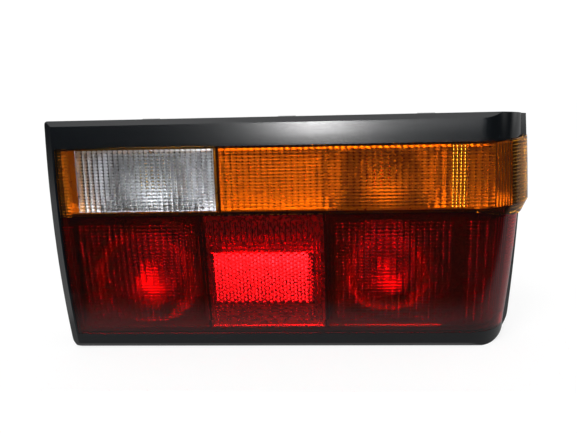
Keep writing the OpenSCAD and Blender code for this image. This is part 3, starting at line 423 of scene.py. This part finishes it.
def lens_mesh(name, side, rise, fine, s_zones, z_zones, kind_of, follow=None):
    """Closed lens shell with pillows on its inside.

    kind_of(s zone, z zone) gives the relief, or None where the lens has an opening. rise is the rise of a
    pillow along the face and upright. follow moves the heights to the joint between the lenses."""
    s_at, s_zone, s_mid, s_wide = lines(s_zones, fine)
    z_at, z_zone, z_mid, z_wide = lines(z_zones, fine)
    relief, keep = reliefs(s_zone, z_zone, kind_of)
    s_grid, z_grid = np.meshgrid(s_at, z_at, indexing="ij")
    if follow:
        z_grid = follow(s_grid, z_grid, side)

    # Four corners of each cell, and the height of its pillow there or a little beside them
    cell_i, cell_j = np.nonzero(keep)
    corner_i = np.stack([cell_i, cell_i + 1, cell_i + 1, cell_i], axis=1)
    corner_j = np.stack([cell_j, cell_j, cell_j + 1, cell_j + 1], axis=1)
    cell_i = cell_i[:, None]
    cell_j = cell_j[:, None]
    rise_s, rise_z = np.moveaxis(relief[cell_i, cell_j] * rise, -1, 0)

    def height(ds, dz):
        u = (s_at[corner_i] - s_mid[cell_i] + ds) / s_wide[cell_i]
        w = (z_at[corner_j] - z_mid[cell_j] + dz) / z_wide[cell_j]
        return rise_s * (1 - 4 * u * u) + rise_z * (1 - 4 * w * w)

    # A point on the inside stands at the mean height of the cells round it
    total = np.zeros(s_grid.shape)
    hits = np.zeros(s_grid.shape)
    np.add.at(total, (corner_i, corner_j), height(0.0, 0.0))
    np.add.at(hits, (corner_i, corner_j), 1)
    used = hits > 0
    outer = lens_point(s_grid, z_grid, np.zeros_like(s_grid), side)
    inner = lens_point(s_grid, z_grid, LENS_T + total / np.maximum(hits, 1), side)
    verts = np.concatenate([outer[used], inner[used]])

    count = int(used.sum())
    index = np.full(s_grid.shape, -1)
    index[used] = np.arange(count)
    quads = index[corner_i, corner_j]
    walls = edge_walls(keep, index, count)
    faces = np.concatenate([quads, quads[:, ::-1] + count, walls])

    # Normals of the true form, so that the shading is finer than the grid
    def point_at(ds, dz, inside):
        s = s_at[corner_i] + ds
        z = z_grid[corner_i, corner_j] + dz
        e = LENS_T + height(ds, dz) if inside else np.zeros_like(s)
        return lens_point(s, z, e, side)

    def true_normals(inside):
        along = point_at(NORMAL_STEP, 0.0, inside) - point_at(-NORMAL_STEP, 0.0, inside)
        up = point_at(0.0, NORMAL_STEP, inside) - point_at(0.0, -NORMAL_STEP, inside)
        return unit(np.cross(along, up))

    a, b, c = (verts[walls[:, k]] for k in range(3))
    wall_normals = np.repeat(unit(np.cross(b - a, c - b))[:, None, :], 4, axis=1)
    normals = [true_normals(False), -true_normals(True)[:, ::-1], wall_normals]
    return mesh_object(name, verts, faces, np.concatenate(normals))


def finish_piece(obj, mat, slot_name, *nodes):
    """Gives a piece its material and body, and has it stand for the nodes."""
    obj.data.materials.append(mat)
    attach(obj, "root")
    if nodes:
        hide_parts(*nodes)


# Amber lens, with the opening for the clear window, and its lower edge on the joint
SAME_HEIGHT = 0.01


def follow_joint(s, z, side):
    return np.where(z <= SPLIT_Z + SAME_HEIGHT, joint_height(s, side), z)


def amber_kind(s_zone, z_zone):
    if s_zone == "window" and z_zone == "optics":
        return None
    if s_zone == "margin":
        return LEVEL_RIBS
    if s_zone in ("flat", "window"):
        return FLAT
    if z_zone != "optics" and s_zone != "side":
        return FLAT
    return {"optics": PILLOW, "ribs": UPRIGHT_RIBS, "side": LEVEL_RIBS}[s_zone]


# Runs where zones of both lenses meet
MARGIN_END = -178.0
COLUMNS_FROM = 142.0
SIDE_FROM = 176.0

amber_s = [
    (LEFT, MARGIN_END, MARGIN_RIB, "margin"),
    (MARGIN_END, WINDOW[0] - GAP, 0, "flat"),
    (WINDOW[0] - GAP, WINDOW[1] + GAP, 0, "window"),
    (WINDOW[1] + GAP, -54.5, 0, "flat"),
    (-54.5, 130.0, PILLOW_X, "optics"),
    (130.0, COLUMNS_FROM, COLUMN_X, "optics"),
    (COLUMNS_FROM, 152.0, PILLOW_X, "optics"),
    (152.0, 162.0, PILLOW_X, "optics"),
    (162.0, SIDE_FROM, CORNER_RIB, "ribs"),
    (SIDE_FROM, run_end(UPPER_SIDE), SIDE_RIB, "side"),
]
amber_z = [
    (SPLIT_Z, WINDOW[2] - GAP, SILL_RIB, "sill"),
    (WINDOW[2] - GAP, WINDOW[3] + GAP, PILLOW_Z, "optics"),
    (WINDOW[3] + GAP, TOP, 0, "edge"),
]
amber = lens_mesh("amber_lens", UPPER_SIDE, UPPER_RISE, UPPER_STEPS, amber_s, amber_z, amber_kind,
                  follow_joint)
finish_piece(amber, AMBER, "lens_amber", "lens_amber")

# Clear window, with a plain border at its sides
CLEAR_BORDER = 1.2
clear_s = [
    (WINDOW[0], WINDOW[0] + CLEAR_BORDER, 0, "flat"),
    (WINDOW[0] + CLEAR_BORDER, WINDOW[1] - CLEAR_BORDER, CLEAR_X, "optics"),
    (WINDOW[1] - CLEAR_BORDER, WINDOW[1], 0, "flat"),
]
clear_z = [(WINDOW[2], WINDOW[3], CLEAR_Z, "optics")]


def clear_kind(s_zone, z_zone):
    return PILLOW if s_zone == "optics" else FLAT


clear = lens_mesh("clear_window", UPPER_SIDE, UPPER_RISE, UPPER_STEPS, clear_s, clear_z, clear_kind)
finish_piece(clear, CLEAR, "lens_clear", "lens_clear")


# Red lens, with the opening for the reflector, and its upper edge on the joint
def red_kind(s_zone, z_zone):
    if s_zone == "middle" and z_zone == "window":
        return None
    if s_zone == "margin":
        return LEVEL_RIBS
    if z_zone == "edge" or s_zone == "flat":
        return FLAT
    if s_zone == "middle":
        return {"strip": TALL_RIBS, "line": PILLOW, "low": PILLOW, "foot": FLAT}[z_zone]
    if z_zone == "foot":
        return FLAT
    return {"optics": PILLOW, "ribs": UPRIGHT_RIBS, "side": LEVEL_RIBS}[s_zone]


red_s = [
    (LEFT, MARGIN_END, MARGIN_RIB, "margin"),
    (MARGIN_END, -174.0, 0, "flat"),
    (-174.0, -77.0, PILLOW_X, "optics"),
    (-77.0, REFLEX[0] - GAP, BESIDE_RIB, "ribs"),
    (REFLEX[0] - GAP, REFLEX[1] + GAP, STRIP_RIB, "middle"),
    (REFLEX[1] + GAP, 36.0, BESIDE_RIB, "ribs"),
    (36.0, 131.0, PILLOW_X, "optics"),
    (131.0, COLUMNS_FROM, 0, "flat"),
    (COLUMNS_FROM, 164.0, PILLOW_X, "optics"),
    (164.0, SIDE_FROM, CORNER_RIB, "ribs"),
    (SIDE_FROM, run_end(LOWER_SIDE), SIDE_RIB, "side"),
]
red_z = [
    (BOTTOM, -73.0, 0, "foot"),
    (-73.0, REFLEX[2] - GAP, PILLOW_Z, "low"),
    (REFLEX[2] - GAP, REFLEX[3] + GAP, PILLOW_Z, "window"),
    (REFLEX[3] + GAP, -0.7, PILLOW_Z, "line"),
    (-0.7, 16.5, PILLOW_Z, "strip"),
    (16.5, SPLIT_Z, 0, "edge"),
]


def follow_joint_below(s, z, side):
    joint = joint_height(s, side)
    return np.where(z >= SPLIT_Z - SAME_HEIGHT, joint, np.minimum(z, joint))


red = lens_mesh("red_lens", LOWER_SIDE, LOWER_RISE, LOWER_STEPS, red_s, red_z, red_kind,
                follow_joint_below)
finish_piece(red, RED, "lens_red", "lens_red")

# Reflex reflector: smooth face, and cube corners on its back, PRISM_E apart
PRISM_E = 2.0
PRISM_ROWS = 27
PRISM_COLUMNS = 42


def reflector_mesh(name):
    """Closed reflector whose back is a lattice of cube corners, cut at its edge."""
    rise = PRISM_E / math.sqrt(2.0)
    row = PRISM_E * math.sqrt(3.0) / 2.0
    left, right, low, high = REFLEX
    i, j = np.meshgrid(np.arange(PRISM_COLUMNS + 1), np.arange(PRISM_ROWS + 1), indexing="ij")
    x = (left + right) / 2.0 + (i + (j % 2) / 2.0 - (PRISM_COLUMNS + 0.5) / 2.0) * PRISM_E
    z = (low + high) / 2.0 + (j - PRISM_ROWS / 2.0) * row
    level = rise * ((i - j // 2 - j) % 3)
    x = np.where(i == 0, left, np.where(i == PRISM_COLUMNS, right, x))
    z = np.where(j == 0, low, np.where(j == PRISM_ROWS, high, z))
    back = lens_point(x, z, LENS_T + level, UPPER_SIDE).reshape(-1, 3)
    front = lens_point(x, z, np.zeros_like(x), UPPER_SIDE).reshape(-1, 3)
    count = len(back)
    tall = PRISM_ROWS + 1
    faces = []
    for m in range(PRISM_COLUMNS):
        for n in range(PRISM_ROWS):
            a = m * tall + n
            b = a + tall
            c = a + 1
            d = b + 1
            halves = [(a, b, c), (b, d, c)] if n % 2 == 0 else [(a, d, c), (a, b, d)]
            for p, q, r in halves:
                faces.append((p, r, q))
                faces.append((p + count, q + count, r + count))
    rim = [m * tall for m in range(PRISM_COLUMNS)]
    rim += [PRISM_COLUMNS * tall + n for n in range(PRISM_ROWS)]
    rim += [m * tall + PRISM_ROWS for m in range(PRISM_COLUMNS, 0, -1)]
    rim += list(range(PRISM_ROWS, 0, -1))
    for k, p in enumerate(rim):
        q = rim[(k + 1) % len(rim)]
        faces.append((p, q, q + count, p + count))
    mesh = bpy.data.meshes.new(name)
    mesh.from_pydata(np.concatenate([back, front]).tolist(), [], faces)
    obj = bpy.data.objects.new(name, mesh)
    bpy.context.scene.collection.objects.link(obj)
    return obj


reflector = reflector_mesh("reflex_prisms")
finish_piece(reflector, REFLEX_RED, "reflex_red", "reflex_reflector")


# Bulb insides: two leads and a coiled filament, in millimetres from the bulb's axis and the cap's front
FILAMENT_PITCH = 5.0
FILAMENT_AHEAD = 15.0
FILAMENT_STEP = 3.0
LEAD_SIDE = 1.5
LEAD_FOOT = 9.0
LEAD_BEND = 4.0
LEAD_R = 0.25
COIL_HALF = 4.0
COIL_R = 0.45
COIL_TURNS = 12
TURN_STEPS = 8
WIRE_R = 0.12
WIRE_SIDES = 6


def tube(path, radius, sides=8):
    """Vertices and faces of a tube along a path of points."""
    path = [Vector(p) for p in path]
    verts, faces = [], []
    for k, p in enumerate(path):
        ahead = path[min(k + 1, len(path) - 1)] - path[max(k - 1, 0)]
        ahead.normalize()
        side = ahead.orthogonal().normalized()
        over = ahead.cross(side)
        for m in range(sides):
            a = 2.0 * math.pi * m / sides
            verts.append(p + side * (radius * math.cos(a)) + over * (radius * math.sin(a)))
    for k in range(len(path) - 1):
        for m in range(sides):
            n = (m + 1) % sides
            faces.append((k * sides + m, k * sides + n, (k + 1) * sides + n, (k + 1) * sides + m))
    faces.append(tuple(range(sides - 1, -1, -1)))
    faces.append(tuple(range((len(path) - 1) * sides, len(path) * sides)))
    return verts, faces


def joined(name, shapes, mat, slot_name):
    """One smooth piece from several lists of vertices and faces."""
    verts, faces = [], []
    for v, f in shapes:
        base = len(verts)
        verts += v
        faces += [tuple(k + base for k in face) for face in f]
    mesh = bpy.data.meshes.new(name)
    mesh.from_pydata([tuple(v) for v in verts], [], faces)
    for poly in mesh.polygons:
        poly.use_smooth = True
    obj = bpy.data.objects.new(name, mesh)
    bpy.context.scene.collection.objects.link(obj)
    finish_piece(obj, mat, slot_name)


def bulb_inside(lamp, filaments):
    """Leads and filaments in the bulb of this lamp, one filament over the other."""
    low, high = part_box("cap_" + lamp)
    x, _, z = middle(low, high)
    front = low[1]
    coil_steps = COIL_TURNS * TURN_STEPS
    shapes = []
    for k in range(filaments):
        height = z + (k - (filaments - 1) / 2.0) * FILAMENT_PITCH * MM
        ahead = front - FILAMENT_AHEAD * MM - k * FILAMENT_STEP * MM
        for side in (-1, 1):
            foot = (x + side * LEAD_SIDE * MM, front + LEAD_FOOT * MM, height)
            bend = (x + side * LEAD_SIDE * MM, front - LEAD_BEND * MM, height)
            tip = (x + side * COIL_HALF * MM, ahead, height)
            shapes.append(tube([foot, bend, tip], LEAD_R * MM))
        coil = []
        for m in range(coil_steps + 1):
            a = 2.0 * math.pi * m / TURN_STEPS
            along = (2.0 * COIL_HALF * m / coil_steps - COIL_HALF) * MM
            coil.append((x + along, ahead + COIL_R * MM * math.sin(a), height + COIL_R * MM * math.cos(a)))
        shapes.append(tube(coil, WIRE_R * MM, WIRE_SIDES))
    joined("filament_" + lamp, shapes, TUNGSTEN, "steel_zinc")


bulb_inside("reversing", 1)
bulb_inside("indicator", 1)
bulb_inside("fog", 1)
bulb_inside("stop_tail", 2)


# Room: white behind the lamp, dark in front of it with a few soft panels. The camera sees white all round
def visible_factor(tree):
    """1 for rays that show the background: camera, glossy and transmission rays."""
    path = tree.nodes.new("ShaderNodeLightPath").outputs
    value = path["Is Camera Ray"]
    for name in ("Is Glossy Ray", "Is Transmission Ray"):
        value = math_node(tree, "MAXIMUM", value, path[name])
    return value


def camera_factor(tree):
    """1 for rays from the camera."""
    return tree.nodes.new("ShaderNodeLightPath").outputs["Is Camera Ray"]


def toward(azimuth, elevation):
    """Direction from the lamp: azimuth 0 is straight ahead of the lens, positive to its +X side."""
    a, e = math.radians(azimuth), math.radians(elevation)
    return (math.sin(a) * math.cos(e), -math.cos(a) * math.cos(e), math.sin(e))


# Panels: azimuth, elevation, inner and outer radius in degrees, strength
PANELS = (
    (5.0, 19.0, 5.0, 10.0, 40.0),
    (0.0, 86.0, 14.0, 34.0, 0.9),
    (0.0, 52.0, 22.0, 42.0, 0.7),
    (-25.0, 48.0, 14.0, 30.0, 3.0),
    (35.0, 38.0, 8.0, 20.0, 0.5),
    (-62.0, 12.0, 6.0, 18.0, 1.6),
    (70.0, 18.0, 6.0, 20.0, 1.2),
)
ROOM = 0.05
BACK_FADE = (0.0, 0.25)
PLAIN_LIGHT = 0.75
WHITE = (1.0, 1.0, 1.0, 1.0)


def build_world():
    """World whose reflections hold the panels. Diffuse rays see an even light instead."""
    world = bpy.data.worlds.new("room")
    bpy.context.scene.world = world
    world.use_nodes = True
    tree = world.node_tree
    tree.nodes.clear()
    out = tree.nodes.new("ShaderNodeOutputWorld")
    coords = tree.nodes.new("ShaderNodeTexCoord")
    direction = coords.outputs["Generated"]
    split = tree.nodes.new("ShaderNodeSeparateXYZ")
    tree.links.new(direction, split.inputs[0])
    total = smooth_step(tree, split.outputs["Y"], *BACK_FADE, 1.0)
    total = math_node(tree, "ADD", total, ROOM)
    for azimuth, elevation, inner, outer, strength in PANELS:
        dot = tree.nodes.new("ShaderNodeVectorMath")
        dot.operation = "DOT_PRODUCT"
        dot.inputs[1].default_value = toward(azimuth, elevation)
        tree.links.new(direction, dot.inputs[0])
        edges = [math.cos(math.radians(angle)) for angle in (outer, inner)]
        total = math_node(tree, "ADD", total, smooth_step(tree, dot.outputs["Value"], *edges, strength))
    total = math_node(tree, "MAXIMUM", total, camera_factor(tree))
    shown = tree.nodes.new("ShaderNodeBackground")
    shown.inputs["Color"].default_value = WHITE
    tree.links.new(total, shown.inputs["Strength"])
    plain = tree.nodes.new("ShaderNodeBackground")
    plain.inputs["Color"].default_value = WHITE
    plain.inputs["Strength"].default_value = PLAIN_LIGHT
    mix = tree.nodes.new("ShaderNodeMixShader")
    tree.links.new(visible_factor(tree), mix.inputs["Fac"])
    tree.links.new(plain.outputs[0], mix.inputs[1])
    tree.links.new(shown.outputs[0], mix.inputs[2])
    tree.links.new(mix.outputs[0], out.inputs["Surface"])


build_world()

# Pale ground that ends a little in front of the lamp, in metres
GROUND_FRONT = -0.122
GROUND_BACK = 3.0
GROUND_SIDE = 3.0
PAPER = (0.9, 0.9, 0.9, 1.0)
GLOW = 1.05
GLOW_SHARE = 0.75

# Where the ground fades in and how much of it the lens then shows, along Y and on the lamp's left side
GROUND_FADE = (-0.115, -0.055)
GROUND_SHOWN = 0.35
GROUND_BESIDE = (0.2, 0.26)
BESIDE_SHOWN = 0.75

ground_z = bounds_at_load[0][2]
ground_mesh = bpy.data.meshes.new("ground")
ground_corners = [
    (-GROUND_SIDE, GROUND_FRONT, ground_z),
    (GROUND_SIDE, GROUND_FRONT, ground_z),
    (GROUND_SIDE, GROUND_BACK, ground_z),
    (-GROUND_SIDE, GROUND_BACK, ground_z),
]
ground_mesh.from_pydata(ground_corners, [], [(0, 1, 2, 3)])
ground = bpy.data.objects.new("ground", ground_mesh)
bpy.context.scene.collection.objects.link(ground)
ground_mat, tree, out = new_material("ground")
paper = tree.nodes.new("ShaderNodeBsdfDiffuse")
paper.inputs["Color"].default_value = PAPER
glow = tree.nodes.new("ShaderNodeEmission")
glow.inputs["Strength"].default_value = GLOW
blend = tree.nodes.new("ShaderNodeMixShader")
tree.links.new(math_node(tree, "MULTIPLY", visible_factor(tree), GLOW_SHARE), blend.inputs["Fac"])
tree.links.new(paper.outputs[0], blend.inputs[1])
tree.links.new(glow.outputs[0], blend.inputs[2])

# The lens shows the ground near the lamp, which fades out towards the front, and the ground on its left
place = object_place(tree)
near = smooth_step(tree, place["Y"], *GROUND_FADE, GROUND_SHOWN)
leftward = math_node(tree, "MULTIPLY", place["X"], -1.0)
beside = smooth_step(tree, leftward, *GROUND_BESIDE, BESIDE_SHOWN)
near = math_node(tree, "MAXIMUM", near, beside)
seen = math_node(tree, "MAXIMUM", near, camera_factor(tree))
dim = tree.nodes.new("ShaderNodeEmission")
dim.inputs["Strength"].default_value = ROOM
fade = tree.nodes.new("ShaderNodeMixShader")
tree.links.new(seen, fade.inputs["Fac"])
tree.links.new(dim.outputs[0], fade.inputs[1])
tree.links.new(blend.outputs[0], fade.inputs[2])
tree.links.new(fade.outputs[0], out.inputs["Surface"])
ground_mesh.materials.append(ground_mat)

# Lamps, as name, strength, width, azimuth and elevation in degrees: a broad one from above, for the soft
# shadow, and a small one that shines on the top of the bezel
SUNS = (
    ("key", 1.2, 25.0, -20.0, 55.0),
    ("small", 0.3, 4.0, -2.0, 6.2),
)


def add_sun(name, energy, angle, azimuth, elevation):
    """Sun lamp that shines from this direction."""
    sun = bpy.data.lights.new(name, "SUN")
    sun.energy = energy
    sun.angle = math.radians(angle)
    lamp = bpy.data.objects.new(name, sun)
    lamp.rotation_euler = Vector(toward(azimuth, elevation)).to_track_quat("Z", "Y").to_euler()
    bpy.context.scene.collection.objects.link(lamp)


for values in SUNS:
    add_sun(*values)

# Camera, as fitted to the photo
CAMERA_AT = Vector((45.27, -674.42, 191.35)) * MM
CAMERA_AIM = Vector((-0.0706, 0.9615, -0.2656)).normalized()
CAMERA_ROLL = math.radians(-1.85)
CAMERA_LENS = 49.9
SENSOR_WIDTH = 36.0
CLIP_START = 0.01
right = CAMERA_AIM.cross(Vector((0.0, 0.0, 1.0))).normalized()
up = right.cross(CAMERA_AIM)
right_rolled = right * math.cos(CAMERA_ROLL) + up * math.sin(CAMERA_ROLL)
up_rolled = up * math.cos(CAMERA_ROLL) - right * math.sin(CAMERA_ROLL)
camera_data = bpy.data.cameras.new("camera")
camera_data.sensor_width = SENSOR_WIDTH
camera_data.lens = CAMERA_LENS
camera_data.clip_start = CLIP_START
camera = bpy.data.objects.new("camera", camera_data)
pose = Matrix((right_rolled, up_rolled, -CAMERA_AIM)).transposed().to_4x4()
pose.translation = CAMERA_AT
camera.matrix_world = pose
bpy.context.scene.collection.objects.link(camera)
bpy.context.scene.camera = camera
bpy.context.scene.view_settings.view_transform = "Standard"
